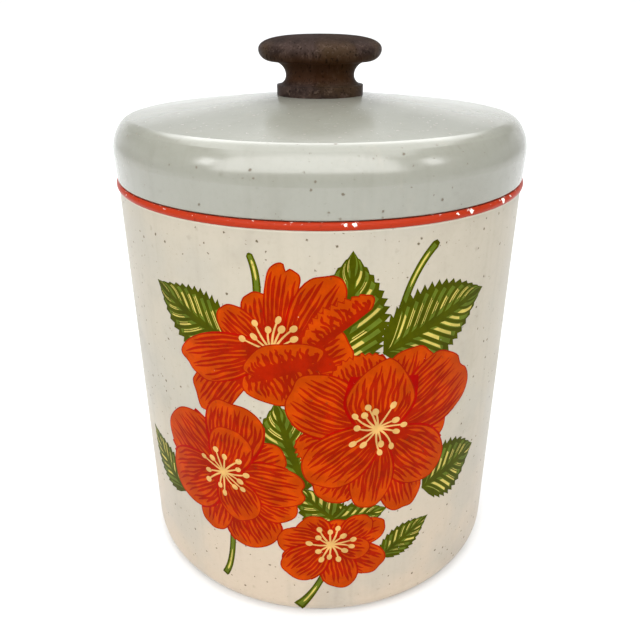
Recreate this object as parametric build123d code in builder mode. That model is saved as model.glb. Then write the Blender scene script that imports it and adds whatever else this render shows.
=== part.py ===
"""Cookie tin: a drawn sheet-metal canister with a lift-off domed lid and a turned wooden knob.

Frame: +Z up along the tin's axis, origin at the centre of the face it stands on, millimetres.
Every piece is a solid of revolution, so each profile is drawn once on the XZ plane and revolved.
"""

import os

from build123d import *

os.makedirs("parts", exist_ok=True)

# ---------------------------------------------------------------- driving dimensions
BODY_RADIUS = 86.0        # outside of the straight wall
SHEET = 0.5               # thickness of the drawn steel sheet, body and lid

# canister body
CORNER_RADIUS = 8.0       # round from the wall into the base
PANEL_RADIUS = 66.0       # raised panel in the middle of the base
PANEL_RISE = 1.2          # height of the panel above the standing ring
PANEL_SLOPE = 3.0         # width of the slope from the panel down to the ring
PANEL_FILLET = 1.5        # round at the top and the bottom of that slope
BEAD_BOTTOM = 175.4       # height where the rolled bead leaves the wall
BEAD_HEIGHT = 3.0
BEAD_BULGE = 0.9          # how far the bead stands out of the wall
NECK_RADIUS = 84.0        # outside of the neck that the lid slips over
NECK_FILLET = 0.8         # round between the ledge and the neck
RIM_TOP = 194.0           # highest point of the curled rim
RIM_CURL = 1.0            # outer radius of the curl
RIM_CURL_ANGLE = 235.0    # how far round the edge is curled

# lid
SEAT_GAP = 0.3            # clearance between the lid's hem and the bead
SKIRT_RADIUS = 86.15      # outside of the skirt at its lower edge
SHOULDER_RADIUS = 86.5    # outside of the skirt where the shoulder starts
SHOULDER_BOTTOM = 189.7
SHOULDER_SIDE_ROUND = 16.2  # gentler arc on the side of the shoulder
SHOULDER_SIDE_TURN = 40.0   # degrees turned by that arc
SHOULDER_TOP_ROUND = 6.2    # tighter arc where the shoulder meets the dome
SHOULDER_TOP_TURN = 43.0    # degrees turned by that arc, down to the dome's slope
SEAT_HEIGHT = 209.2       # flat seat in the middle of the dome, under the knob
SEAT_RADIUS = 17.5
DOME_CROWN = 0.2          # how far the dome's flank bows above a straight cone
HEM_RADIUS = 0.8          # outer radius of the fold at the skirt's lower edge
HEM_RETURN = 2.0          # height of the folded-in edge inside the skirt
LID_HOLE_RADIUS = 2.5     # clearance hole for the knob's screw

# knob
KNOB_BASE_RADIUS = 18.1
KNOB_BASE_HEIGHT = 4.0    # straight edge of the foot
KNOB_NECK_RADIUS = 14.3
KNOB_NECK_HEIGHT = 7.6    # height of the narrowest place
KNOB_THROAT_RADIUS = 19.8
KNOB_THROAT_HEIGHT = 13.0  # where the hollow of the neck turns into the cap's underside
KNOB_CAP_RADIUS = 25.4
KNOB_CAP_HEIGHT = 17.6    # height of the widest place
KNOB_HEIGHT = 23.4
KNOB_EDGE_PULL = 4.6      # upward pull of the crown's curve at the widest place
KNOB_CROWN_PULL = 15.2    # sideways pull of the crown's curve at the top

# fasteners
SCREW_CORE_RADIUS = 1.5
SCREW_THREAD_RADIUS = 2.1
SCREW_PITCH = 1.6
SCREW_TURNS = 7
SCREW_TIP = 2.5           # length of the pointed end
SCREW_HEAD_RADIUS = 4.2
SCREW_HEAD_HEIGHT = 2.6
SCREW_HEAD_ROUND = 1.2
SLOT_WIDTH = 1.1
SLOT_DEPTH = 1.2
WASHER_RADIUS = 7.0
WASHER_HOLE_RADIUS = 2.4
WASHER_THICKNESS = 1.0
WASHER_EDGE = 0.2

# ---------------------------------------------------------------- levels worked out from them
BEAD_TOP = BEAD_BOTTOM + BEAD_HEIGHT
HEM_BOTTOM = BEAD_TOP + SEAT_GAP
SEAT_UNDERSIDE = SEAT_HEIGHT - SHEET
SCREW_HEAD_TOP = SEAT_UNDERSIDE - WASHER_THICKNESS
THREAD_START = SEAT_HEIGHT + SCREW_PITCH
THREAD_END = THREAD_START + SCREW_TURNS * SCREW_PITCH
SCREW_END = THREAD_END + SCREW_TIP


# ---------------------------------------------------------------- canister body
# The outside of the sheet runs from the axis, under the base, up the wall, over the bead, in along
# the ledge, up the neck and round the curl. Offsetting it inwards by the sheet gives the section.
with BuildPart() as canister_body:
    with BuildSketch(Plane.XZ):
        with BuildLine():
            FilletPolyline(
                (0, PANEL_RISE),
                (PANEL_RADIUS, PANEL_RISE),
                (PANEL_RADIUS + PANEL_SLOPE, 0),
                (BODY_RADIUS, 0),
                (BODY_RADIUS, BEAD_BOTTOM),
                radius=[PANEL_FILLET, PANEL_FILLET, CORNER_RADIUS],
            )
            ThreePointArc(
                (BODY_RADIUS, BEAD_BOTTOM),
                (BODY_RADIUS + BEAD_BULGE, BEAD_BOTTOM + BEAD_HEIGHT / 2),
                (BODY_RADIUS, BEAD_TOP),
            )
            FilletPolyline(
                (BODY_RADIUS, BEAD_TOP),
                (NECK_RADIUS, BEAD_TOP),
                (NECK_RADIUS, RIM_TOP - RIM_CURL),
                radius=NECK_FILLET,
            )
            CenterArc((NECK_RADIUS - RIM_CURL, RIM_TOP - RIM_CURL), RIM_CURL, 0, RIM_CURL_ANGLE)
            offset(amount=SHEET, side=Side.RIGHT)
        make_face()
    revolve(axis=Axis.Z)
canister_body.part.label = "canister_body"

# ---------------------------------------------------------------- lid
# The outside of the sheet runs from the folded-in edge round the hem, up the skirt, round the
# shoulder in two tangent arcs, and up the dome's flank to the seat and the screw hole.
with BuildPart() as lid_shell:
    with BuildSketch(Plane.XZ):
        with BuildLine():
            hem_fold = CenterArc(
                (SKIRT_RADIUS - HEM_RADIUS, HEM_BOTTOM + HEM_RADIUS), HEM_RADIUS, 180, 180
            )
            Line(hem_fold @ 0 + Vector(0, HEM_RETURN), hem_fold @ 0)
            skirt = Line(hem_fold @ 1, (SHOULDER_RADIUS, SHOULDER_BOTTOM))
            side_arc = JernArc(skirt @ 1, (0, 1), SHOULDER_SIDE_ROUND, SHOULDER_SIDE_TURN)
            top_arc = JernArc(
                side_arc @ 1, side_arc % 1, SHOULDER_TOP_ROUND, SHOULDER_TOP_TURN
            )
            flank = SagittaArc(top_arc @ 1, (SEAT_RADIUS, SEAT_HEIGHT), -DOME_CROWN)
            Line(flank @ 1, (LID_HOLE_RADIUS, SEAT_HEIGHT))
            offset(amount=SHEET, side=Side.LEFT)
        make_face()
    revolve(axis=Axis.Z)
lid_shell.part.label = "lid_shell"

# ---------------------------------------------------------------- knob
# Foot, hollow neck, flared underside and low crown, turned in one piece. The pilot hole from below
# is as wide as the screw's core, so the thread bites into the wood.
with BuildPart() as knob:
    with BuildSketch(Plane.XZ):
        with BuildLine():
            foot = Polyline(
                (0, SEAT_HEIGHT),
                (KNOB_BASE_RADIUS, SEAT_HEIGHT),
                (KNOB_BASE_RADIUS, SEAT_HEIGHT + KNOB_BASE_HEIGHT),
            )
            EllipticalCenterArc(
                (KNOB_BASE_RADIUS, SEAT_HEIGHT + KNOB_NECK_HEIGHT),
                KNOB_BASE_RADIUS - KNOB_NECK_RADIUS,
                KNOB_NECK_HEIGHT - KNOB_BASE_HEIGHT,
                start_angle=270,
                arc_size=-90,
            )
            EllipticalCenterArc(
                (KNOB_THROAT_RADIUS, SEAT_HEIGHT + KNOB_NECK_HEIGHT),
                KNOB_THROAT_RADIUS - KNOB_NECK_RADIUS,
                KNOB_THROAT_HEIGHT - KNOB_NECK_HEIGHT,
                start_angle=180,
                arc_size=-90,
            )
            EllipticalCenterArc(
                (KNOB_THROAT_RADIUS, SEAT_HEIGHT + KNOB_CAP_HEIGHT),
                KNOB_CAP_RADIUS - KNOB_THROAT_RADIUS,
                KNOB_CAP_HEIGHT - KNOB_THROAT_HEIGHT,
                start_angle=270,
                arc_size=90,
            )
            crown = Bezier(
                (KNOB_CAP_RADIUS, SEAT_HEIGHT + KNOB_CAP_HEIGHT),
                (KNOB_CAP_RADIUS, SEAT_HEIGHT + KNOB_CAP_HEIGHT + KNOB_EDGE_PULL),
                (KNOB_CROWN_PULL, SEAT_HEIGHT + KNOB_HEIGHT),
                (0, SEAT_HEIGHT + KNOB_HEIGHT),
            )
            Line(crown @ 1, foot @ 0)
        make_face()
    revolve(axis=Axis.Z)
    with BuildSketch(Plane.XY.offset(SEAT_HEIGHT)):
        Circle(SCREW_CORE_RADIUS)
    extrude(amount=SCREW_END - SEAT_HEIGHT, mode=Mode.SUBTRACT)
knob.part.label = "knob"

# ---------------------------------------------------------------- knob screw
# Pan-head wood screw pointing up. The thread is drawn as separate sharp rings at its pitch.
with BuildPart() as knob_screw:
    with BuildSketch(Plane.XZ):
        with BuildLine():
            shank = Polyline(
                (SCREW_HEAD_RADIUS, SCREW_HEAD_TOP),
                (SCREW_CORE_RADIUS, SCREW_HEAD_TOP),
                (SCREW_CORE_RADIUS, THREAD_END),
                (0, SCREW_END),
                (0, SCREW_HEAD_TOP - SCREW_HEAD_HEIGHT),
                (SCREW_HEAD_RADIUS, SCREW_HEAD_TOP - SCREW_HEAD_HEIGHT),
                close=True,
            )
        make_face()
        fillet(
            shank.vertices().group_by(Axis.Y)[0].sort_by(Axis.X)[-1],
            SCREW_HEAD_ROUND,
        )
        for turn in range(SCREW_TURNS):
            with BuildLine():
                Polyline(
                    (0, THREAD_START + turn * SCREW_PITCH),
                    (SCREW_CORE_RADIUS, THREAD_START + turn * SCREW_PITCH),
                    (SCREW_THREAD_RADIUS, THREAD_START + (turn + 0.5) * SCREW_PITCH),
                    (SCREW_CORE_RADIUS, THREAD_START + (turn + 1) * SCREW_PITCH),
                    (0, THREAD_START + (turn + 1) * SCREW_PITCH),
                    close=True,
                )
            make_face()
    revolve(axis=Axis.Z)
    with BuildSketch(Plane.XY.offset(SCREW_HEAD_TOP - SCREW_HEAD_HEIGHT)):
        Rectangle(2 * SCREW_HEAD_RADIUS, SLOT_WIDTH)
    extrude(amount=SLOT_DEPTH, mode=Mode.SUBTRACT)
knob_screw.part.label = "knob_screw"

# ---------------------------------------------------------------- knob washer
# Flat washer that spreads the screw's pull over the thin lid sheet.
with BuildPart() as knob_washer:
    with BuildSketch(Plane.XY.offset(SCREW_HEAD_TOP)):
        Circle(WASHER_RADIUS)
        Circle(WASHER_HOLE_RADIUS, mode=Mode.SUBTRACT)
    extrude(amount=WASHER_THICKNESS)
    fillet(knob_washer.edges().group_by(Axis.Z)[0].sort_by(SortBy.RADIUS)[-1], WASHER_EDGE)
knob_washer.part.label = "knob_washer"

# ---------------------------------------------------------------- one STEP per piece
for piece in (canister_body, lid_shell, knob, knob_screw, knob_washer):
    export_step(piece.part, f"parts/{piece.part.label}.step")
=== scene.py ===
"""The looks of the cookie tin: enamel, printed bouquet, tinplate, walnut and zinc, in a pale studio."""

import random
from math import atan2, cos, hypot, pi, radians, sin

import bpy
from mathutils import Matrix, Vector
from mathutils.bvhtree import BVHTree
from mathutils.geometry import delaunay_2d_cdt


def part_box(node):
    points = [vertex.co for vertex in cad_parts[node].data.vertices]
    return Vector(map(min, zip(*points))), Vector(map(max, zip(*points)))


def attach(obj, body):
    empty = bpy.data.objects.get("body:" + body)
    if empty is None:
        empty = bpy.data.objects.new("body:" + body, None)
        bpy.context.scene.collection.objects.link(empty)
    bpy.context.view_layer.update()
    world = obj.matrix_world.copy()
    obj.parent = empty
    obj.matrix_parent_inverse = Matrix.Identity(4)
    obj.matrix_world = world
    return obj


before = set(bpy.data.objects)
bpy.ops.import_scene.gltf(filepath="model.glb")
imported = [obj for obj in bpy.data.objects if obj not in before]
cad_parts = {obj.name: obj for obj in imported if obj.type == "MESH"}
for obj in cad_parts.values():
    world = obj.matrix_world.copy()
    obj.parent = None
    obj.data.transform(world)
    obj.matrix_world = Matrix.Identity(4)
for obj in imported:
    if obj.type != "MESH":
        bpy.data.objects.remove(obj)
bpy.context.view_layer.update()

MM = 0.001

# Sizes of the CAD model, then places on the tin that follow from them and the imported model, in metres
BEAD_BULGE = 0.9 * MM        # the bead stands this far out from the wall
BEAD_HEIGHT = 3.0 * MM
SEAT_GAP = 0.3 * MM          # between the bead and the lid's hem
_, body_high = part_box("canister_body")
lid_low, lid_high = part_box("lid_shell")
knob_low, knob_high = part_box("knob")
WALL_RADIUS = body_high.x - BEAD_BULGE
BEAD_TOP = lid_low.z - SEAT_GAP
BEAD_BOTTOM = BEAD_TOP - BEAD_HEIGHT


# ---------------------------------------------------------------- node trees

def rgb(red, green, blue):
    """A colour given as sRGB from 0 to 255, in Blender's linear values."""
    parts = [c / 255 for c in (red, green, blue)]
    return [*(((c + 0.055) / 1.055) ** 2.4 if c > 0.04045 else c / 12.92 for c in parts), 1.0]


class Finish:
    """One material, with short ways to add the nodes that the finishes share.

    Positions are the object's own, in metres, so a scale is in repeats per metre."""

    def __init__(self, name):
        self.material = bpy.data.materials.new(name)
        self.material.use_nodes = True
        self.tree = self.material.node_tree
        self.tree.nodes.clear()
        self.shader = self.add("ShaderNodeBsdfPrincipled")
        output = self.add("ShaderNodeOutputMaterial", {"Surface": self.shader.outputs["BSDF"]})
        output.is_active_output = True
        coordinates = self.add("ShaderNodeTexCoord")
        self.place = coordinates.outputs["Object"]
        self.normal = coordinates.outputs["Normal"]
        axes = self.add("ShaderNodeSeparateXYZ", {0: self.place})
        self.x, self.y, self.z = axes.outputs

    def add(self, kind, inputs=None, **settings):
        """A node of this kind. Each input is a value or another node's output."""
        node = self.tree.nodes.new(kind)
        for name, value in settings.items():
            setattr(node, name, value)
        for name, value in (inputs or {}).items():
            self.feed(node.inputs[name], value)
        return node

    def feed(self, socket, value):
        if isinstance(value, bpy.types.NodeSocket):
            self.tree.links.new(value, socket)
        else:
            socket.default_value = value

    def maths(self, operation, a, b=0.0, clamp=False):
        return self.add("ShaderNodeMath", {0: a, 1: b}, operation=operation, use_clamp=clamp).outputs[0]

    def vector(self, operation, a, b):
        return self.add("ShaderNodeVectorMath", {0: a, 1: b}, operation=operation).outputs[0]

    def ramp(self, value, low, high):
        """A smooth step from 0 to 1 while value goes from low to high."""
        inputs = {"Value": value, "From Min": low, "From Max": high}
        return self.add("ShaderNodeMapRange", inputs, interpolation_type="SMOOTHSTEP").outputs[0]

    def mix(self, share, a, b):
        """Colour a, and b where share is 1."""
        return self.add("ShaderNodeMix", {0: share, 6: a, 7: b}, data_type="RGBA").outputs[2]

    def blend(self, share, a, b):
        """Number a, and b where share is 1."""
        return self.add("ShaderNodeMix", {0: share, 2: a, 3: b}, data_type="FLOAT").outputs[0]

    def both(self, a, b):
        return self.maths("MULTIPLY", a, b)

    def either(self, a, b):
        return self.maths("MAXIMUM", a, b)

    def plus(self, a, b):
        return self.maths("ADD", a, b)

    def minus(self, a, b):
        return self.maths("SUBTRACT", a, b)

    def inverse(self, a):
        return self.minus(1.0, a)

    def noise(self, scale, detail=2.0, rough=0.5, stretch=None, at=None, warp=0.0):
        """Cloudy noise from 0 to 1, about scale blotches a metre. stretch below 1 draws an axis out."""
        place = at or self.place
        if stretch:
            place = self.vector("MULTIPLY", place, stretch)
        inputs = {"Vector": place, "Scale": scale, "Detail": detail, "Roughness": rough,
                  "Distortion": warp}
        return self.add("ShaderNodeTexNoise", inputs, noise_dimensions="3D").outputs[0]

    def wobble(self, scale, reach, detail):
        """A small displacement, up to half of reach each way, that roughens a round mark's edge."""
        noise = self.add("ShaderNodeTexNoise", {"Vector": self.place, "Scale": scale, "Detail": detail})
        centred = self.vector("SUBTRACT", noise.outputs["Color"], (0.5, 0.5, 0.5))
        return self.vector("MULTIPLY", centred, (reach,) * 3)

    def specks(self, spacing, radius, share, soft=0.5, shift=0.0):
        """1 in spots of up to this radius and about spacing apart, 0 outside them.

        share is how many of the spots show, and shift makes another set of them."""
        moved = self.wobble(0.9 / radius, 1.3 * radius, detail=1.0)
        place = self.vector("ADD", self.vector("ADD", self.place, moved), (shift,) * 3)
        cells = self.add("ShaderNodeTexVoronoi", {"Vector": place, "Scale": 1 / spacing}, feature="F1")
        chance = self.add("ShaderNodeSeparateColor", {0: cells.outputs["Color"]})
        shown = self.maths("LESS_THAN", chance.outputs[0], share)
        size = self.plus(self.both(chance.outputs[1], 0.65), 0.35)
        reach = self.both(size, radius / spacing)
        edge = self.maths("DIVIDE", cells.outputs["Distance"], reach)
        return self.both(shown, self.ramp(edge, 1.0, 1.0 - soft))

    def bump(self, height, depth, strength=1.0):
        """The shader's normal, from a height that runs over depth metres."""
        node = self.add("ShaderNodeBump", {"Height": height, "Distance": depth, "Strength": strength})
        self.feed(self.shader.inputs["Normal"], node.outputs[0])

    def surface(self, colour, roughness):
        self.feed(self.shader.inputs["Base Color"], colour)
        self.feed(self.shader.inputs["Roughness"], roughness)

    def gloss(self, level):
        """How strong the reflection is, the same all over: 0.5 is plain varnish."""
        self.shader.inputs["Specular IOR Level"].default_value = level


# ---------------------------------------------------------------- colours and light

CREAM_HIGH = rgb(178, 170, 154)
# Low on the body the cream is yellower and lighter; the lightening is painted light against the shade near
# the floor.
CREAM_LOW_PAINTED_LIGHT = rgb(191, 175, 155)
CREAM_COOL = rgb(168, 164, 153)
# The lid's cream is darker than the body's: painted shade against the strong light from above.
LID_CREAM_SHADED = rgb(142, 142, 131)
LID_RUBBED = rgb(168, 160, 140)
# A painted highlight: the pale line along the sharp corner under the bead.
RIM_HIGHLIGHT_CREAM = rgb(236, 226, 208)
SPECK_BROWN = rgb(88, 76, 56)
BEAD_ORANGE = rgb(160, 47, 22)
BEAD_DIRT = rgb(120, 40, 20)
CHIP_WHITE = rgb(232, 228, 220)
INK_DIRT = rgb(70, 45, 20)
WALNUT_DARK = rgb(34, 25, 22)
WALNUT_MID = rgb(64, 51, 46)
WALNUT_GOLD = rgb(70, 53, 34)
WALNUT_LIGHT = rgb(100, 84, 74)
WALNUT_PORE = rgb(20, 12, 10)
TIN_SHADE = rgb(188, 187, 182)
TIN_BRIGHT = rgb(222, 221, 216)
TIN_SPANGLE = rgb(196, 192, 180)
TIN_TARNISH = rgb(160, 148, 126)
ZINC_COOL = rgb(140, 142, 146)
ZINC_WARM = rgb(190, 188, 178)
RUST = rgb(110, 70, 42)
WALNUT_AMBER = rgb(64, 35, 9)
INKS = {
    "orange": rgb(176, 60, 0),
    "red": rgb(149, 25, 0),
    "crimson": rgb(156, 4, 0),
    "dark_green": rgb(64, 68, 0),
    "mid_green": rgb(88, 102, 28),
    "yellow": rgb(190, 172, 86),
    "cream": rgb(202, 160, 94),
}
ORANGE, RED, CRIMSON, DARK_GREEN, MID_GREEN, YELLOW, CREAM = INKS
FLOOR_PALE = rgb(226, 226, 226)
FLOOR_WHITE = rgb(232, 232, 232)
AIR_COLOUR = rgb(228, 240, 255)
AIR_GLOW = 0.12
WARM_WHITE = (1.0, 0.995, 0.985)
PURE_WHITE = (1.0, 1.0, 1.0)
COOL_WHITE = (0.985, 0.995, 1.0)
SKY_WHITE = (0.97, 0.985, 1.0)

# Each softbox: its name, its place, what it shines at, its width and height in metres, how bright its face
# is beside white, and its colour
SOFTBOXES = (
    ("front", (-0.35, -1.3, 1.5), (-0.35, 0.0, 1.5), 3.2, 1.7, 4.1, WARM_WHITE),
    ("overhead", (0.0, 1.3, 2.2), (0.0, 1.3, 0.0), 3.4, 5.0, 2.15, COOL_WHITE),
    ("rear", (0.0, 2.6, 2.1), (0.0, 2.6, 0.0), 2.4, 2.2, 1.5, COOL_WHITE),
    ("far", (0.0, 5.6, 2.15), (0.0, 5.6, 0.0), 4.0, 3.4, 0.35, COOL_WHITE),
    ("backdrop", (0.0, 3.0, 0.9), (0.0, 4.6, 0.15), 6.0, 0.5, 3.4, SKY_WHITE),
    ("left_window", (-2.5, -1.2, 1.6), (0.0, 0.0, 0.2), 0.45, 0.7, 7.0, PURE_WHITE),
    ("right_window", (2.5, -1.2, 1.6), (0.0, 0.0, 0.2), 0.45, 0.7, 7.0, PURE_WHITE),
)


# ---------------------------------------------------------------- finishes

def outside(finish, heart):
    """1 on the faces that look away from the point heart, and 0 on a sheet's inner side."""
    away = finish.vector("SUBTRACT", finish.place, heart)
    facing = finish.add("ShaderNodeVectorMath", {0: away, 1: finish.normal}, operation="DOT_PRODUCT")
    return finish.maths("GREATER_THAN", facing.outputs["Value"], 0.0)


def from_axis(finish):
    """The distance from the tin's axis."""
    flat = finish.vector("MULTIPLY", finish.place, (1, 1, 0))
    return finish.add("ShaderNodeVectorMath", {0: flat}, operation="LENGTH").outputs["Value"]


def aged(finish, colour, dirt, amount=1.0):
    """colour with the mottling, faint runs and brown specks of the whole tin, and the specks alone.

    dirt is the colour that they are mixed towards, and amount is how far."""
    cloud = finish.noise(38, detail=4, rough=0.6)
    grain = finish.noise(420, detail=3, rough=0.65)
    runs = finish.noise(260, detail=3, stretch=(1, 1, 0.07))
    fine = finish.specks(2.2 * MM, 0.35 * MM, 0.85, soft=0.7)
    spots = finish.specks(3.5 * MM, 0.70 * MM, 0.8, soft=0.5, shift=0.31)
    smears = finish.specks(7.5 * MM, 1.6 * MM, 0.85, soft=1.0, shift=0.17)
    marks = finish.either(finish.both(spots, 0.88), finish.both(smears, 0.2))
    marks = finish.either(finish.both(fine, 0.5), marks)
    haze = finish.both(finish.ramp(cloud, 0.48, 0.72), 0.10)
    haze = finish.plus(haze, finish.both(finish.ramp(runs, 0.5, 0.75), 0.06))
    haze = finish.plus(haze, finish.both(finish.ramp(grain, 0.45, 0.75), 0.05))
    share = finish.maths("ADD", finish.both(marks, amount), finish.both(haze, amount), clamp=True)
    return finish.mix(share, colour, dirt), marks


def tinplate(finish):
    """Bare tinplate with fine lines that run round the tin: its colour, its roughness and the lines."""
    rings = finish.add("ShaderNodeCombineXYZ", {"X": from_axis(finish), "Z": finish.z}).outputs[0]
    lines = finish.noise(2600, detail=3, rough=0.7, at=rings)
    spangle = finish.noise(120, detail=3, rough=0.6)
    tarnish = finish.ramp(finish.noise(30, detail=4, rough=0.65), 0.52, 0.74)
    bright = finish.mix(lines, TIN_SHADE, TIN_BRIGHT)
    colour = finish.mix(finish.both(finish.ramp(spangle, 0.4, 0.7), 0.3), bright, TIN_SPANGLE)
    colour = finish.mix(finish.both(tarnish, 0.45), colour, TIN_TARNISH)
    roughness = finish.plus(finish.both(lines, 0.18), finish.both(tarnish, 0.15))
    return colour, finish.plus(roughness, 0.2), lines


def sheet_finish(finish, painted, colour, roughness, marks):
    """Enamel where painted is 1 and bare tinplate elsewhere, on one shader."""
    bare, bare_roughness, lines = tinplate(finish)
    finish.surface(finish.mix(painted, bare, colour), finish.blend(painted, bare_roughness, roughness))
    finish.feed(finish.shader.inputs["Metallic"], finish.inverse(painted))
    peel = finish.noise(330, detail=2, rough=0.4)
    enamel = finish.minus(peel, finish.both(marks, 0.8))
    finish.bump(finish.blend(painted, finish.both(lines, 0.35), enamel), 0.05 * MM, 0.35)


# Bare spots on the bead: degrees round the tin from the front towards +X, then the height above the bead's
# middle and the size, in millimetres
BEAD_CHIPS = (
    (5.5, 0.9, 0.9), (7.5, 1.1, 1.4), (33, 0.9, 1.0), (37.5, 0.9, 1.5), (51, 0.7, 2.1), (55.5, 1.2, 1.0),
    (-58, 0.8, 0.8), (-30, 1.2, 0.6), (128, 0.9, 1.6), (-112, 1.0, 1.1), (-150, 0.8, 1.9), (171, 1.1, 0.8),
)
CHIP_REACH = 0.62            # a chip's radius beside its size


def bead_chips(finish):
    """1 where the bead's orange has chipped off."""
    place = finish.vector("ADD", finish.place, finish.wobble(1100, 2.2 * MM, detail=3))
    middle = (BEAD_TOP + BEAD_BOTTOM) / 2
    radius = WALL_RADIUS + BEAD_BULGE
    found = 0.0
    for angle, height, size in BEAD_CHIPS:
        a = radians(angle)
        centre = (radius * sin(a), -radius * cos(a), middle + height * MM)
        gap = finish.add("ShaderNodeVectorMath", {0: place, 1: centre}, operation="DISTANCE")
        chip = finish.maths("LESS_THAN", gap.outputs["Value"], size * CHIP_REACH * MM)
        found = finish.either(found, chip)
    return found


def body_enamel():
    """Speckled cream outside with an orange bead, and bare tinplate on the neck, the curl and inside."""
    finish = Finish("speckled_cream_enamel")
    # Towards the floor the cream turns lighter and yellower: painted light that lifts the shade near the
    # floor.
    cream_with_painted_light = finish.mix(finish.ramp(finish.z, 0.0, BEAD_BOTTOM * 0.6), CREAM_LOW_PAINTED_LIGHT, CREAM_HIGH)
    cloudy = finish.ramp(finish.noise(24, detail=3, rough=0.55, warp=0.3), 0.42, 0.66)
    cream_with_painted_light = finish.mix(finish.both(cloudy, 0.5), cream_with_painted_light, CREAM_COOL)
    cream, marks = aged(finish, cream_with_painted_light, SPECK_BROWN)
    orange, _ = aged(finish, BEAD_ORANGE, BEAD_DIRT, 0.6)
    worn_edge = finish.ramp(finish.noise(700, detail=3), 0.62, 0.7)
    high = finish.ramp(finish.z, BEAD_TOP - 0.9 * MM, BEAD_TOP - 0.3 * MM)
    chips = finish.either(bead_chips(finish), finish.both(finish.both(worn_edge, high), 0.55))
    orange = finish.mix(chips, orange, CHIP_WHITE)
    bead = finish.ramp(finish.z, BEAD_BOTTOM - 0.02 * MM, BEAD_BOTTOM + 0.02 * MM)
    # A painted highlight: a thin pale line just under the bead, where a rounded edge would catch the light.
    rim_highlight = finish.ramp(finish.z, BEAD_BOTTOM - 0.55 * MM, BEAD_BOTTOM - 0.30 * MM)
    cream = finish.mix(finish.both(rim_highlight, 0.3), cream, RIM_HIGHLIGHT_CREAM)
    colour = finish.mix(bead, cream, orange)
    below_neck = finish.inverse(finish.ramp(finish.z, BEAD_TOP + 0.02 * MM, BEAD_TOP + 0.12 * MM))
    painted = finish.both(outside(finish, (0, 0, BEAD_BOTTOM / 2)), below_neck)
    gloss = finish.plus(0.24, finish.both(finish.noise(55, detail=3), 0.16))
    roughness = finish.plus(gloss, finish.both(marks, 0.25))
    sheet_finish(finish, painted, colour, roughness, finish.either(marks, finish.both(chips, bead)))
    finish.gloss(0.07)
    return finish.material


def lid_enamel():
    """The lid's greyer, glossier cream outside, darker than the body's cream as painted shade, and bare
    tinplate inside.
    """
    finish = Finish("lid_grey_cream_enamel")
    cream, marks = aged(finish, LID_CREAM_SHADED, SPECK_BROWN)
    rub = finish.ramp(finish.noise(90, detail=5, rough=0.7, stretch=(1, 1, 0.4)), 0.56, 0.75)
    colour = finish.mix(finish.both(rub, 0.12), cream, LID_RUBBED)
    hem = finish.maths("LESS_THAN", finish.z, lid_low.z + 0.7 * MM)
    painted = finish.either(outside(finish, (0, 0, (lid_low.z + lid_high.z) / 2 - 25 * MM)), hem)
    hair = finish.noise(1500, detail=2, stretch=(0.12, 1, 1), warp=0.4)
    gloss = finish.plus(0.13, finish.both(finish.noise(48, detail=4), 0.12))
    roughness = finish.plus(gloss, finish.both(marks, 0.3))
    roughness = finish.plus(roughness, finish.both(finish.ramp(hair, 0.62, 0.8), 0.08))
    sheet_finish(finish, painted, colour, roughness, marks)
    finish.gloss(0.8)
    return finish.material


def walnut():
    """Dark oiled walnut, warmer at the waist, with painted shade on its crown. The grain runs from front to
    back and rises a little.
    """
    finish = Finish("dark_walnut")
    turned = finish.add("ShaderNodeVectorRotate", {"Vector": finish.place, "Angle": radians(32)},
                        rotation_type="X_AXIS").outputs[0]
    bands = finish.noise(95, detail=4, rough=0.6, stretch=(1, 0.2, 1), at=turned, warp=0.8)
    fibres = finish.noise(900, detail=4, rough=0.7, stretch=(1, 0.075, 1), at=turned)
    pores = finish.noise(1500, detail=2, rough=0.5, stretch=(1, 0.05, 1), at=turned)
    turning = finish.noise(1400, detail=2, stretch=(0.06, 0.06, 1))
    colour = finish.mix(finish.ramp(bands, 0.32, 0.62), WALNUT_DARK, WALNUT_MID)
    golden = finish.ramp(finish.noise(60, detail=3, at=turned), 0.5, 0.68)
    colour = finish.mix(finish.both(golden, 0.55), colour, WALNUT_GOLD)
    colour = finish.mix(finish.both(finish.ramp(fibres, 0.5, 0.72), 0.55), colour, WALNUT_LIGHT)
    waist = finish.both(finish.ramp(finish.z, knob_low.z + 4 * MM, knob_low.z + 7 * MM),
                        finish.inverse(finish.ramp(finish.z, knob_low.z + 13 * MM, knob_low.z + 18 * MM)))
    colour = finish.mix(finish.both(waist, 0.65), colour, WALNUT_AMBER)
    # Painted shade: the knob's top is darkened, and it is also made duller.
    shaded_crown = finish.ramp(finish.z, knob_high.z - 5 * MM, knob_high.z - 1.5 * MM)
    colour = finish.mix(finish.both(shaded_crown, 0.7), colour, WALNUT_DARK)
    pits = finish.ramp(pores, 0.60, 0.68)
    colour = finish.mix(finish.both(pits, 0.75), colour, WALNUT_PORE)
    roughness = finish.blend(pits, finish.plus(0.36, finish.both(fibres, 0.2)), 0.75)
    finish.surface(colour, finish.blend(shaded_crown, roughness, 0.9))
    finish.gloss(0.03)
    height = finish.minus(finish.both(fibres, 0.5), pits)
    finish.bump(finish.plus(height, finish.both(turning, 0.25)), 0.08 * MM, 0.5)
    return finish.material


def plated_steel():
    """Dull zinc plate with fine machining lines and a little rust."""
    finish = Finish("zinc_plated_steel")
    lines = finish.noise(3000, detail=2, stretch=(0.2, 0.2, 1))
    bloom = finish.noise(350, detail=4, rough=0.65)
    rust = finish.ramp(finish.noise(240, detail=4, rough=0.7), 0.60, 0.72)
    colour = finish.mix(bloom, ZINC_COOL, ZINC_WARM)
    colour = finish.mix(finish.both(rust, 0.6), colour, RUST)
    dulled = finish.plus(finish.both(bloom, 0.2), finish.both(rust, 0.3))
    finish.surface(colour, finish.plus(0.28, dulled))
    finish.feed(finish.shader.inputs["Metallic"], finish.inverse(finish.both(rust, 0.7)))
    finish.bump(finish.plus(finish.both(lines, 0.4), bloom), 0.03 * MM, 0.4)
    return finish.material


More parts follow.
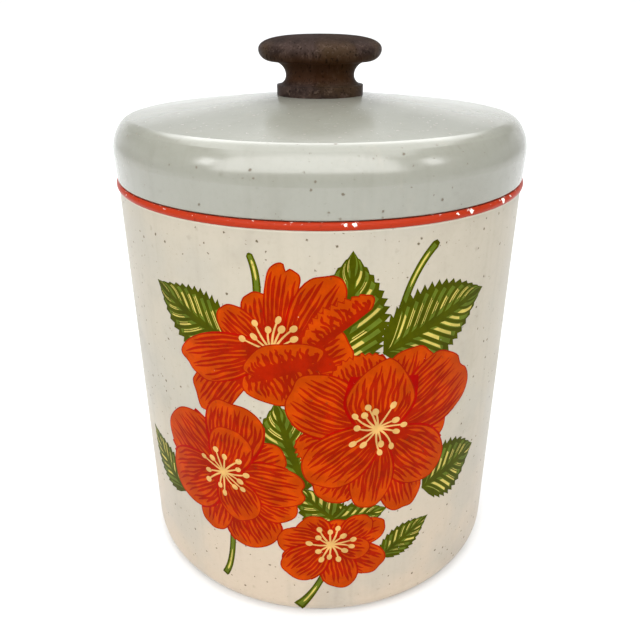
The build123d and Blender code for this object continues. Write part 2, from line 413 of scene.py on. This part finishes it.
def print_ink(name, colour):
    """One ink of the bouquet: a little uneven, with the tin's specks over it and pinholes to the cream."""
    finish = Finish("ink_" + name)
    deep = [c * 0.80 for c in colour[:3]] + [1.0]
    pale = [min(1.0, c * 1.10) for c in colour[:3]] + [1.0]
    uneven = finish.noise(130, detail=4, rough=0.6)
    tone = finish.mix(finish.ramp(uneven, 0.35, 0.68), deep, pale)
    tone, marks = aged(finish, tone, INK_DIRT, 0.45)
    pinholes = finish.specks(6.5 * MM, 0.26 * MM, 0.5, soft=0.3, shift=0.43)
    tone = finish.mix(finish.both(pinholes, 0.6), tone, CREAM_HIGH)
    finish.surface(tone, finish.plus(0.30, finish.both(uneven, 0.16)))
    finish.gloss(0.02)
    pitted = finish.plus(marks, pinholes)
    finish.bump(finish.minus(finish.noise(600, detail=2), pitted), 0.02 * MM, 0.35)
    return finish.material


# ---------------------------------------------------------------- the bouquet, on the unrolled wall
# A point of the drawing is (u, v) in millimetres: u runs round the wall from the front towards +X, and v is
# the height. Each shape is an ink and a closed outline, and covers the shapes before it. On a petal or a
# leaf, s runs from 0 at its base to 1 at its tip, and t from -1 to 1 across it.

PETAL_EDGE = 0.5             # the red line round a petal
SHADE_SPREAD = 0.16          # how much wider than the petal the crimson shade is at its base
SHADE_END = 0.75             # where the shade ends, along the petal
STREAK_PITCH = 1.95          # between a petal's red streaks
STREAK_WIDTH = 1.2
STREAK_MARGIN = 1.4          # from the streaks' ends to the petal's tip edge
STREAK_PARTS = 15            # straight parts of a streak
STREAK_WAVER = 0.045         # how far a streak wanders sideways, beside the petal's half width
TOOTH_DEPTH = 1.1            # of a ragged petal's edge
HEAD_LENGTH = 1.55           # half of a stamen's head, along it
HEAD_WIDTH = 1.25            # and across it
SLANT = 0.26                 # how far up the leaf a vein climbs on its way to the edge
LEAF_END = 0.985             # no bar of a leaf reaches past this


def waves(seed):
    """A smooth, repeatable wobble between about -1 and 1, as a function."""
    draw = random.Random(seed)
    parts = [(k * draw.uniform(0.7, 1.3), draw.uniform(0, 2 * pi), 1 / k) for k in (1, 2, 3)]
    return lambda x: sum(size * sin(2 * pi * rate * x + shift) for rate, shift, size in parts) / 1.5


def spread(count, low, high):
    """The middles of count equal parts of the range."""
    return [low + (high - low) * (i + 0.5) / count for i in range(count)]


def steps(count, low, high):
    """The ends of count equal parts of the range."""
    return [low + (high - low) * i / count for i in range(count + 1)]


def swollen(outline, distance):
    """The closed outline moved outwards by distance."""
    out = []
    n = len(outline)
    side = 1 if signed_area(outline) > 0 else -1
    for i in range(n):
        (x0, y0), (x1, y1) = outline[i - 1], outline[(i + 1) % n]
        dx, dy = x1 - x0, y1 - y0
        size = hypot(dx, dy) or 1
        step = side * distance / size
        out.append((outline[i][0] + step * dy, outline[i][1] - step * dx))
    return out


def stroke(path, widths):
    """A line of changing width as a closed outline."""
    left, right = [], []
    n = len(path)
    for i, (x, y) in enumerate(path):
        (x0, y0), (x1, y1) = path[max(i - 1, 0)], path[min(i + 1, n - 1)]
        dx, dy = x1 - x0, y1 - y0
        size = hypot(dx, dy) or 1
        h = widths[i] / 2
        left.append((x - h * dy / size, y + h * dx / size))
        right.append((x + h * dy / size, y - h * dx / size))
    return left + right[::-1]


def bent(base, angle, length, bend, s, across):
    """The point s of the way along an axis that turns by bend degrees, and across to the left of it."""
    turn = radians(bend)
    heading = radians(angle) + turn * (s - 0.5)
    middle = radians(angle) + turn * (s / 2 - 0.5)
    return (base[0] + length * s * cos(middle) - across * sin(heading),
            base[1] + length * s * sin(middle) + across * cos(heading))


def up_and_back(count, low, high):
    """(side, s) up one side of a petal and back down the other."""
    return [(-1, s) for s in steps(count, low, high)] + [(1, s) for s in steps(count, high, low)]


def ellipse(x, y, along, across, angle=0.0, count=18):
    """A closed oval with its half widths, the first of them at angle."""
    return [(x + along * cos(p) * cos(angle) - across * sin(p) * sin(angle),
             y + along * cos(p) * sin(angle) + across * sin(p) * cos(angle))
            for p in steps(count, 0, 2 * pi)[:-1]]


def hatching(art, draw, place, rim, width, length, deep):
    """A petal's red streaks, and thin orange lines through the red at its base.

    place turns (s, t) into a point, and rim(t) is how far up the petal ends at t."""
    lines = max(4, round(width / STREAK_PITCH))

    def wavy(wave, t, count, low, high):
        return [place(s, t + STREAK_WAVER * wave(1.3 * s)) for s in steps(count, low, high)]

    for k, t in enumerate(spread(lines, -0.95, 0.95)):
        t += draw.uniform(-0.16, 0.16) / lines
        wave, swell = waves(draw.random()), waves(draw.random())
        gap = STREAK_MARGIN / length + draw.uniform(0.0, 0.05)
        if k % 3 == 1:
            gap += draw.uniform(0.04, 0.2)
        full = STREAK_WIDTH * draw.uniform(0.9, 1.1)
        widths = [full * (1 + 0.22 * swell(i / 10) + deep * (1 - i / STREAK_PARTS))
                  * min(1.0, (STREAK_PARTS + 0.35 - i) / 2.8) ** 0.7 for i in range(STREAK_PARTS + 1)]
        art.append((RED, stroke(wavy(wave, t, STREAK_PARTS, 0.02, max(0.3, rim(t) - gap)), widths)))
        start = 0.16 + deep + draw.uniform(0.0, 0.12)
        if k % 2 and t + 1 / lines < 0.9:
            path = wavy(wave, t + 1 / lines, 10, start, start + 0.3)
            art.append((ORANGE, stroke(path, [0.10 + 0.35 * i / 10 for i in range(11)])))


def petal(art, seed, base, angle, length, width, foot=0.25, fullest=0.55, tip=2.2, bend=0,
          ruffle=0.04, notch=0.0, ragged=0, deep=0.0, shade=True):
    """An orange petal with a red edge, hatched with red streaks that run together towards its base.

    It points to angle and turns by bend degrees on the way. foot is the share of its width that it has at
    its base, and fullest is where it reaches the whole of it. A larger tip squares the end off, ruffle and
    notch shape the end, and ragged is the number of teeth along it. deep carries the red of the base
    further up, and shade adds the crimson shadow beside the base."""
    edge = waves(seed)

    def place(s, t):
        half = width / 2 * (foot + (1 - foot) * sin(pi / 2 * min(1.0, s / fullest)) ** 1.1)
        return bent(base, angle, length, bend, s, half * t)

    def rim(t):
        """How far up the petal its tip edge lies at t."""
        full = min(1.0, abs(t))
        top = fullest + (1 - fullest) * (1 - full ** tip) ** (1 / tip)
        top += ruffle * edge(0.5 + 0.35 * t) * (1 - full ** 4)
        top -= notch * max(0.0, 1 - (t / 0.3) ** 2) ** 2
        if ragged:
            tooth = 2 * abs((ragged * (t + 1) / 2) % 1 - 0.5) - 0.5
            top += TOOTH_DEPTH / length * (1 - full ** 3) * tooth * 2
        return top

    around = [sin(pi / 2 * x) for x in steps(36 if ragged else 24, -1, 1)]
    shape = [place(s, -1) for s in steps(8, 0.02, fullest)]
    shape += [place(max(0.02, rim(t)), t) for t in around[1:-1]]
    shape += [place(s, 1) for s in steps(8, fullest, 0.02)]
    if shade:
        beside = [place(s, side * (1 + SHADE_SPREAD * (1 - s / SHADE_END)))
                  for side, s in up_and_back(10, 0, SHADE_END)]
        art.append((CRIMSON, swollen(beside, 0.4)))
    art.append((RED, swollen(shape, PETAL_EDGE)))
    art.append((ORANGE, shape))
    art.append((RED, [place(s, side * 0.8) for side, s in up_and_back(6, 0.02, 0.22 + deep)]))
    hatching(art, random.Random(seed), place, rim, width, length, deep)


def stamens(art, seed, centre, size, directions):
    """Long and short stamens in turn, each a curved thread with an oval head."""
    draw = random.Random(seed)
    for k, angle in enumerate(directions):
        long = size * (draw.uniform(0.66, 0.76) if k % 2 else draw.uniform(0.92, 1.0))
        heading = radians(angle + draw.uniform(-4, 4))
        curl = draw.uniform(-0.4, 0.4)
        path = []
        for s in steps(8, 0, 1):
            a = heading + curl * (s - 0.3)
            path.append((centre[0] + long * s * cos(a), centre[1] + long * s * sin(a)))
        art.append((CREAM, stroke(path, [0.95 - 0.35 * i / 8 for i in range(9)])))
        x, y = path[-1]
        a = atan2(y - path[-2][1], x - path[-2][0])
        along, across = HEAD_LENGTH * draw.uniform(0.85, 1.1), HEAD_WIDTH * draw.uniform(0.85, 1.1)
        art.append((CREAM, ellipse(x, y, along, across, a)))
    art.append((CREAM, ellipse(*centre, 1.3, 1.3, count=14)))


def serrated(place, teeth, side):
    """The saw edge of a leaf on one side, from its base to its tip."""
    points = []
    for k in range(teeth):
        foot, step = 0.06 + 0.94 * k / teeth, 0.94 / teeth
        points += [place(foot, side * 0.94), place(foot + 0.5 * step, side * 1.03),
                   place(foot + 0.88 * step, side * 1.12)]
    return points


def leaf_bars(art, draw, place, veins):
    """Bars of mid green between the veins, some of them with yellow on them, split or whole."""

    def bar(ink, side, low, high, inner, outer):
        """A slanting strip between two veins, from inner to outer on one side of the midrib."""
        near = [place(min(LEAF_END, low + SLANT * x), side * x) for x in steps(6, inner, outer)]
        far = [place(min(LEAF_END, high + SLANT * x), side * x)
               for x in steps(6, inner + 0.04, outer - 0.09)]
        art.append((ink, near + far[::-1]))

    pitch = (1.0 - 0.5 * SLANT) / veins
    trim, line = 0.10 * pitch, 0.07 * pitch
    for side in (-1, 1):
        for k in range(veins):
            middle = 1 - abs(2 * (k + 0.5) / veins - 1)
            low = max(0.02, pitch * (k + draw.uniform(0.16, 0.24)) - 0.03)
            high = max(0.04, pitch * (k + draw.uniform(0.70, 0.80)) - 0.03)
            bar(MID_GREEN, side, low, high, draw.uniform(0.08, 0.14), draw.uniform(0.82, 0.93))
            if draw.random() < 0.45 + 0.75 * middle:
                inner, outer = draw.uniform(0.10, 0.30), draw.uniform(0.52, 0.88)
                bar(YELLOW, side, low + trim * draw.uniform(0, 1.4), high - trim, inner, outer)
                if draw.random() < 0.6 * middle + 0.15:
                    split = low + (high - low) * draw.uniform(0.42, 0.6)
                    bar(DARK_GREEN, side, split - line, split + line, inner - 0.04, outer + 0.04)


def leaf(art, seed, base, angle, length, width, bend=0, teeth=9, veins=8):
    """A dark green saw-edged leaf with slanting bars of mid green and yellow beside its midrib."""

    def place(s, t):
        half = width / 2 * (sin(pi * s ** 0.8) ** (0.7 + 0.4 * s * s) if 0 < s < 1 else 0)
        return bent(base, angle, length, bend, s, half * t)

    left, right = serrated(place, teeth, 1), serrated(place, teeth, -1)
    art.append((DARK_GREEN, [place(0.0, 0)] + left + [place(1.0, 0)] + right[::-1]))
    leaf_bars(art, random.Random(seed), place, veins)
    midrib = [place(s, 0) for s in steps(10, 0, 0.97)]
    art.append((DARK_GREEN, stroke(midrib, [1.3 - 0.9 * i / 10 for i in range(11)])))


def stem(art, path, width, flare=1.0, point=1.0):
    """A dark green stem with a lighter core, bent like its path of three points.

    flare widens its first end, and point narrows that end's tip."""
    curve = [tuple((1 - s) ** 2 * a + 2 * s * (1 - s) * b + s * s * c for a, b, c in zip(*path))
             for s in steps(16, 0, 1)]
    widths = [width * (1 + (flare - 1) * (1 - i / 16) ** 2) for i in range(17)]
    art.append((DARK_GREEN, stroke(curve, [widths[0] * point] + widths[1:])))
    art.append((MID_GREEN, stroke(curve[1:-1], [0.52 * w for w in widths[1:-1]])))
    core = (0.3, 1, 1, 1, 1, 1, 1, 0.8, 0.2)
    art.append((YELLOW, stroke(curve[3:12], [0.26 * width * share for share in core])))


def blossom_heart(art, x, y, size):
    """The red middle that every blossom's petals grow from."""
    art.append((RED, ellipse(x, y, size, size, count=20)))


def stems_and_leaves(art):
    """They lie behind all the blossoms."""
    stem(art, ((-24.5, 167), (-21.5, 161), (-22, 152)), 3.0, 0.8, 0.3)
    stem(art, ((42.5, 169), (33, 161), (29, 144)), 2.9, 1.15, 0.55)
    stem(art, ((-16.5, 105), (-15.5, 111), (-14, 118)), 2.8)
    stem(art, ((-44.0, 14.5), (-39, 22), (-38, 42)), 2.8, 1.2, 0.8)
    stem(art, ((-9.5, 6), (-3, 13), (2, 26)), 2.8, 1.9, 0.9)
    leaf(art, 1, (-29, 131.5), 156, 43, 25, bend=-20, teeth=14, veins=10)
    leaf(art, 2, (6, 121), 84, 48, 29, bend=12, teeth=16, veins=10)
    leaf(art, 3, (23, 129), 20, 49, 30, bend=-14, teeth=16, veins=11)
    leaf(art, 4, (44, 62), 14, 33, 28, bend=-14, teeth=11, veins=8)
    leaf(art, 5, (26, 31), 33, 27, 15, bend=-12, teeth=10, veins=7)
    leaf(art, 6, (-65, 50), 140, 34, 20, bend=-20, teeth=11, veins=8)
    leaf(art, 7, (-5, 70), 107, 41, 29, bend=-8, teeth=13, veins=9)
    leaf(art, 8, (9, 52), 134, 26, 17, bend=-12, teeth=8, veins=6)
    leaf(art, 9, (4, 55), 6, 24, 14, bend=16, teeth=8, veins=6)


def upper_left_blossom(art):
    """Seen from the side."""
    blossom_heart(art, -16, 133, 7)
    petal(art, 101, (-21, 138), 95, 15, 12, foot=0.5)
    petal(art, 102, (-21, 132), 141, 20, 13, foot=0.4)
    petal(art, 103, (-15, 137), 82, 26, 11, foot=0.6, fullest=0.8, tip=3.0, bend=-16, notch=0.08)
    petal(art, 104, (-9, 134), 60, 29, 16, foot=0.45, fullest=0.6, bend=-8)
    petal(art, 109, (-31.5, 124), -126, 30, 18, foot=0.95, fullest=0.72, tip=1.3, bend=8, shade=False)
    petal(art, 108, (-12, 127), -70, 16.5, 41, foot=0.8, fullest=0.4, tip=2.0, ruffle=0.08, deep=0.1,
          shade=False)
    petal(art, 106, (-19, 130), -162, 37, 19, foot=0.4, fullest=0.62, tip=2.4, bend=14, ruffle=0.06)
    petal(art, 111, (-3, 128), 30, 15, 18, foot=0.7, fullest=0.5, deep=0.2, shade=False)
    petal(art, 105, (8, 139.5), 128, 10, 31, foot=0.8, fullest=0.3, tip=1.7, ragged=12, shade=False)
    stamens(art, 123, (-17, 130.5), 13, (168, 148, 130, 112, 94, 76, 58, 40))
    petal(art, 107, (-12.5, 123), 108, 11, 31, foot=0.75, fullest=0.35, tip=1.6, ruffle=0.08, deep=0.1,
          shade=False)


def large_right_blossom(art):
    blossom_heart(art, 22, 96, 9)
    petal(art, 201, (5, 95), -138, 16, 16, ragged=8)
    petal(art, 202, (17, 115), 112, 14, 21, foot=0.6, ragged=9)
    petal(art, 212, (32, 95), -8, 21, 19, foot=0.5)
    petal(art, 203, (31, 102), 76, 27, 21, foot=0.5, fullest=0.7)
    petal(art, 204, (26, 96), 31, 40, 31, foot=0.25, fullest=0.7, tip=2.6, bend=8, notch=0.03)
    petal(art, 205, (10, 78), -122, 15, 17, foot=0.6)
    petal(art, 206, (29, 84), -76, 30, 18, foot=0.4, fullest=0.6)
    petal(art, 207, (25, 94), -44, 34, 25, foot=0.3)
    petal(art, 208, (23, 91), -98, 31, 17, foot=0.3)
    petal(art, 209, (19, 99), 150, 34, 26, foot=0.3, fullest=0.6, tip=2.2, bend=-14)
    petal(art, 210, (22, 98), 83, 28, 27, foot=0.55, fullest=0.42, tip=1.5)
    petal(art, 211, (23, 96), -141, 34, 23, foot=0.35, fullest=0.6, bend=10)
    stamens(art, 214, (22, 97), 11.5, range(5, 360, 26))


def left_blossom(art):
    blossom_heart(art, -40, 71, 8)
    petal(art, 301, (-33, 56), -64, 20, 25, foot=0.5)
    petal(art, 302, (-28, 64), -20, 19, 17, foot=0.5)
    petal(art, 303, (-42, 64), -106, 25, 16, foot=0.4)
    petal(art, 304, (-41, 72), 145, 33, 30, foot=0.35, fullest=0.6, tip=1.7, bend=-10)
    petal(art, 305, (-41, 71), -148, 32, 28, foot=0.35, fullest=0.6, tip=1.9, bend=12)
    petal(art, 306, (-29, 78), 30, 17, 14, foot=0.5)
    petal(art, 307, (-37, 80), 80, 26, 25, foot=0.6, fullest=0.6)
    petal(art, 308, (-37, 72), -6, 31, 20, foot=0.3, notch=0.04)
    petal(art, 309, (-40, 70), -62, 22, 19, foot=0.3)
    petal(art, 310, (-40, 73), 74, 21, 19, foot=0.45)
    stamens(art, 349, (-40.5, 71.5), 11, range(0, 360, 27))


def small_bottom_blossom(art):
    blossom_heart(art, 4.5, 42, 6)
    petal(art, 401, (7, 45), 62, 9, 13, foot=0.6)
    petal(art, 402, (3, 43), 136, 15, 15, foot=0.35)
    petal(art, 403, (8, 44), 14, 20, 13, foot=0.4)
    petal(art, 404, (7, 40), -34, 24, 15, foot=0.4)
    petal(art, 410, (9, 45), 36, 14, 12, foot=0.4)
    petal(art, 405, (3, 42), 178, 20, 15, foot=0.35)
    petal(art, 411, (0, 37), 205, 17, 13, foot=0.4)
    petal(art, 406, (6, 38), -80, 21, 15, foot=0.4)
    petal(art, 407, (2.5, 40.5), -134, 23, 17, foot=0.35)
    petal(art, 408, (8, 41), -22, 13, 11, foot=0.4)
    stamens(art, 468, (4.5, 41.5), 9.5, range(10, 360, 29))


def bouquet():
    """The whole drawing, from the shapes at the back to those in front."""
    art = []
    stems_and_leaves(art)
    upper_left_blossom(art)
    large_right_blossom(art)
    left_blossom(art)
    small_bottom_blossom(art)
    return art


def signed_area(outline):
    """Twice the outline's area, below zero where it runs clockwise."""
    return sum(outline[i - 1][0] * outline[i][1] - outline[i][0] * outline[i - 1][1]
               for i in range(len(outline)))


# ---------------------------------------------------------------- the print as thin pieces

INK_PROUD = 0.04 * MM        # the ink stands this far out from the wall
INK_ROOT = 0.15 * MM         # and is keyed this far into it
FOLD = 2.0                   # the flat drawing bends round the tin every so many millimetres
MERGE = 1e-4                 # points of the drawing closer than this are one point, in millimetres
INK_CREASE = radians(30)     # edges of the film this sharp or sharper are shaded as edges


def mesh_object(name, points, faces, crease=None):
    """A smooth object, with sharp edges where two faces meet at the angle crease or more."""
    mesh = bpy.data.meshes.new(name)
    mesh.from_pydata(points, [], faces)
    mesh.polygons.foreach_set("use_smooth", [True] * len(mesh.polygons))
    if crease:
        mesh.set_sharp_from_angle(angle=crease)
    piece = bpy.data.objects.new(name, mesh)
    bpy.context.scene.collection.objects.link(piece)
    return piece


def round_the_wall(u, v, radius):
    """The point (u, v) of the drawing on the wall, at this distance from the axis."""
    angle = u * MM / WALL_RADIUS
    return (radius * sin(angle), -radius * cos(angle), v * MM)


def flattened(art):
    """The drawing's triangles, each with the ink of the topmost shape that covers it, or None."""
    points, faces = [], []
    for _, outline in art:
        start = len(points)
        corners = outline if signed_area(outline) > 0 else outline[::-1]
        points += [Vector(p) for p in corners]
        faces.append(list(range(start, start + len(corners))))
    points, _, triangles, _, _, owners = delaunay_2d_cdt(points, [], faces, 1, MERGE, True)
    return points, triangles, [art[max(owner)][0] if owner else None for owner in owners]


def borders(triangles, inks):
    """The edges between two inks, or between an ink and bare enamel."""
    beside = {}
    for triangle, ink in zip(triangles, inks):
        for i in range(3):
            edge = (min(triangle[i - 1], triangle[i]), max(triangle[i - 1], triangle[i]))
            beside.setdefault(edge, []).append(ink)
    return [edge for edge, found in beside.items() if len(found) == 1 or found[0] != found[1]]


def inked_triangles(art):
    """The drawing's points and its (triangle, ink) pairs, without the hidden outlines.

    It is cut wherever it folds round the tin."""
    points, triangles, inks = flattened(art)
    drawn = BVHTree.FromPolygons([(p.x, p.y, 0) for p in points], triangles)
    edges = borders(triangles, inks)
    used = sorted({i for edge in edges for i in edge})
    index = {old: new for new, old in enumerate(used)}
    corners = [points[i] for i in used]
    edges = [(index[a], index[b]) for a, b in edges]
    left, right = min(p.x for p in corners), max(p.x for p in corners)
    bottom, top = min(p.y for p in corners), max(p.y for p in corners)
    for i in range(int((right - left) / FOLD) + 2):
        fold = left + (i - 0.5) * FOLD
        edges.append((len(corners), len(corners) + 1))
        corners += [Vector((fold, bottom - 1)), Vector((fold, top + 1))]
    corners, _, triangles, _, _, _ = delaunay_2d_cdt(corners, edges, [], 0, MERGE, False)
    inked = []
    for triangle in triangles:
        x, y = (sum(corners[i][axis] for i in triangle) / 3 for axis in (0, 1))
        _, _, nearest, gap = drawn.find_nearest((x, y, 0))
        if gap < MERGE and inks[nearest]:
            inked.append((triangle, inks[nearest]))
    return corners, inked


def ink_shell(name, points, triangles):
    """A closed film over the triangles: its face, its back in the wall and its thin sides."""
    used = sorted({i for triangle in triangles for i in triangle})
    index = {old: new for new, old in enumerate(used)}
    count = len(used)
    outer = [round_the_wall(*points[i], WALL_RADIUS + INK_PROUD) for i in used]
    inner = [round_the_wall(*points[i], WALL_RADIUS - INK_ROOT) for i in used]
    faces, open_edges = [], {}
    for triangle in triangles:
        a, b, c = (index[i] for i in triangle)
        faces += [(a, b, c), (c + count, b + count, a + count)]
        for edge in ((a, b), (b, c), (c, a)):
            if edge[::-1] in open_edges:
                del open_edges[edge[::-1]]
            else:
                open_edges[edge] = True
    faces += [(b, a, a + count, b + count) for a, b in open_edges]
    return mesh_object(name, outer + inner, faces, INK_CREASE)


def printed_bouquet():
    """One thin piece for each ink."""
    points, inked = inked_triangles(bouquet())
    for ink, colour in INKS.items():
        triangles = [triangle for triangle, owner in inked if owner == ink]
        piece = ink_shell("print_" + ink, points, triangles)
        piece.data.materials.append(print_ink(ink, colour))
        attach(piece, "canister")


# ---------------------------------------------------------------- the lid's hem

HEM_RADIUS = 0.8 * MM        # the fold at the skirt's lower edge
HEM_COAT = 0.05 * MM         # the enamel bead stands this far out from the fold
HEM_KEY = 0.15 * MM          # and is keyed this far into the sheet
HEM_CLIMB = 1.4 * MM         # how far it thins out up the skirt
HEM_CREASE = radians(50)
HEM_SIDES = 360
SKIRT_RADIUS = WALL_RADIUS + 0.15 * MM    # the outside of the lid's skirt
SKIRT_SKIN = 0.1 * MM        # the coat's upper end lies this far under it


def lathe(name, profile, sides):
    """The closed profile of (radius, height) turned round the tin's axis."""
    count = len(profile)
    points = [(radius * cos(2 * pi * k / sides), radius * sin(2 * pi * k / sides), height)
              for k in range(sides) for radius, height in profile]
    faces = []
    for k in range(sides):
        a, b = k * count, (k + 1) % sides * count
        faces += [(a + i, a + (i + 1) % count, b + (i + 1) % count, b + i) for i in range(count)]
    return mesh_object(name, points, faces, HEM_CREASE)


def lid_hem():
    """The thick edge of the enamel where it gathered round the lid's folded hem."""
    middle = (SKIRT_RADIUS - HEM_RADIUS, lid_low.z + HEM_RADIUS)
    turns = steps(14, radians(-178), radians(0))

    def fold(radius, angles):
        return [(middle[0] + radius * cos(a), middle[1] + radius * sin(a)) for a in angles]

    top = (SKIRT_RADIUS - SKIRT_SKIN, middle[1] + HEM_CLIMB)
    profile = fold(HEM_RADIUS + HEM_COAT, turns) + [top] + fold(HEM_RADIUS - HEM_KEY, turns[::-1])
    piece = lathe("lid_hem_enamel", profile, HEM_SIDES)
    piece.data.materials.append(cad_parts["lid_shell"].material_slots[0].material)
    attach(piece, "lid")


# ---------------------------------------------------------------- studio

def studio_floor():
    """A pale round floor that curves up at its edge, so that the camera sees no horizon."""
    flat, rise, rings, sides = 4.0, 1.5, 12, 96
    profile = [(0.6, 0), (flat, 0)]
    profile += [(flat + rise * sin(pi / 2 * i / rings), rise * (1 - cos(pi / 2 * i / rings)))
                for i in range(1, rings + 1)]
    points, faces = [(0, 0, 0)], []
    for radius, height in profile:
        points += [(radius * cos(2 * pi * k / sides), radius * sin(2 * pi * k / sides), height)
                   for k in range(sides)]
    faces += [(0, 1 + k, 1 + (k + 1) % sides) for k in range(sides)]
    for ring in range(len(profile) - 1):
        for k in range(sides):
            a, b = 1 + ring * sides + k, 1 + ring * sides + (k + 1) % sides
            faces.append((a, a + sides, b + sides, b))
    floor = mesh_object("studio_floor", points, faces)
    finish = Finish("pale_floor")
    finish.surface(finish.mix(finish.noise(9, detail=3), FLOOR_PALE, FLOOR_WHITE),
                   finish.plus(0.6, finish.both(finish.noise(30), 0.2)))
    finish.gloss(0.2)
    floor.data.materials.append(finish.material)


def soft_light(name, place, aim, width, height, glow, colour):
    """A rectangular light that the camera can't see."""
    data = bpy.data.lights.new(name, "AREA")
    data.shape, data.size, data.size_y = "RECTANGLE", width, height
    data.energy = glow * pi * width * height
    data.color = colour
    light = bpy.data.objects.new(name, data)
    light.location = place
    light.rotation_euler = (Vector(aim) - Vector(place)).to_track_quat("-Z", "Y").to_euler()
    light.visible_camera = False
    bpy.context.scene.collection.objects.link(light)


def studio_light():
    """Dim cool air, and the softboxes."""
    world = bpy.data.worlds.new("studio")
    bpy.context.scene.world = world
    world.use_nodes = True
    sky = world.node_tree.nodes["Background"]
    sky.inputs["Color"].default_value = AIR_COLOUR
    sky.inputs["Strength"].default_value = AIR_GLOW
    for softbox in SOFTBOXES:
        soft_light(*softbox)


def photographer():
    """The camera: its distance and height are in wall radii from the tin's axis and the floor."""
    back, height, pitch, lens = 3.347, 2.767, 25.01, 36.28
    camera = bpy.data.objects.new("camera", bpy.data.cameras.new("camera"))
    camera.location = (0, -back * WALL_RADIUS, height * WALL_RADIUS)
    camera.rotation_euler = (radians(90 - pitch), 0, 0)
    camera.data.lens = lens
    camera.data.sensor_width = 36
    camera.data.clip_start = 0.01
    bpy.context.scene.collection.objects.link(camera)
    bpy.context.scene.camera = camera


# ---------------------------------------------------------------- the scene

def dress(node, material):
    """Gives a CAD node its finish."""
    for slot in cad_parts[node].material_slots:
        slot.material = material


bpy.context.scene.view_settings.view_transform = "Standard"
photographer()
studio_light()
studio_floor()
dress("canister_body", body_enamel())
dress("lid_shell", lid_enamel())
dress("knob", walnut())
zinc = plated_steel()
dress("knob_screw", zinc)
dress("knob_washer", zinc)
printed_bouquet()
lid_hem()
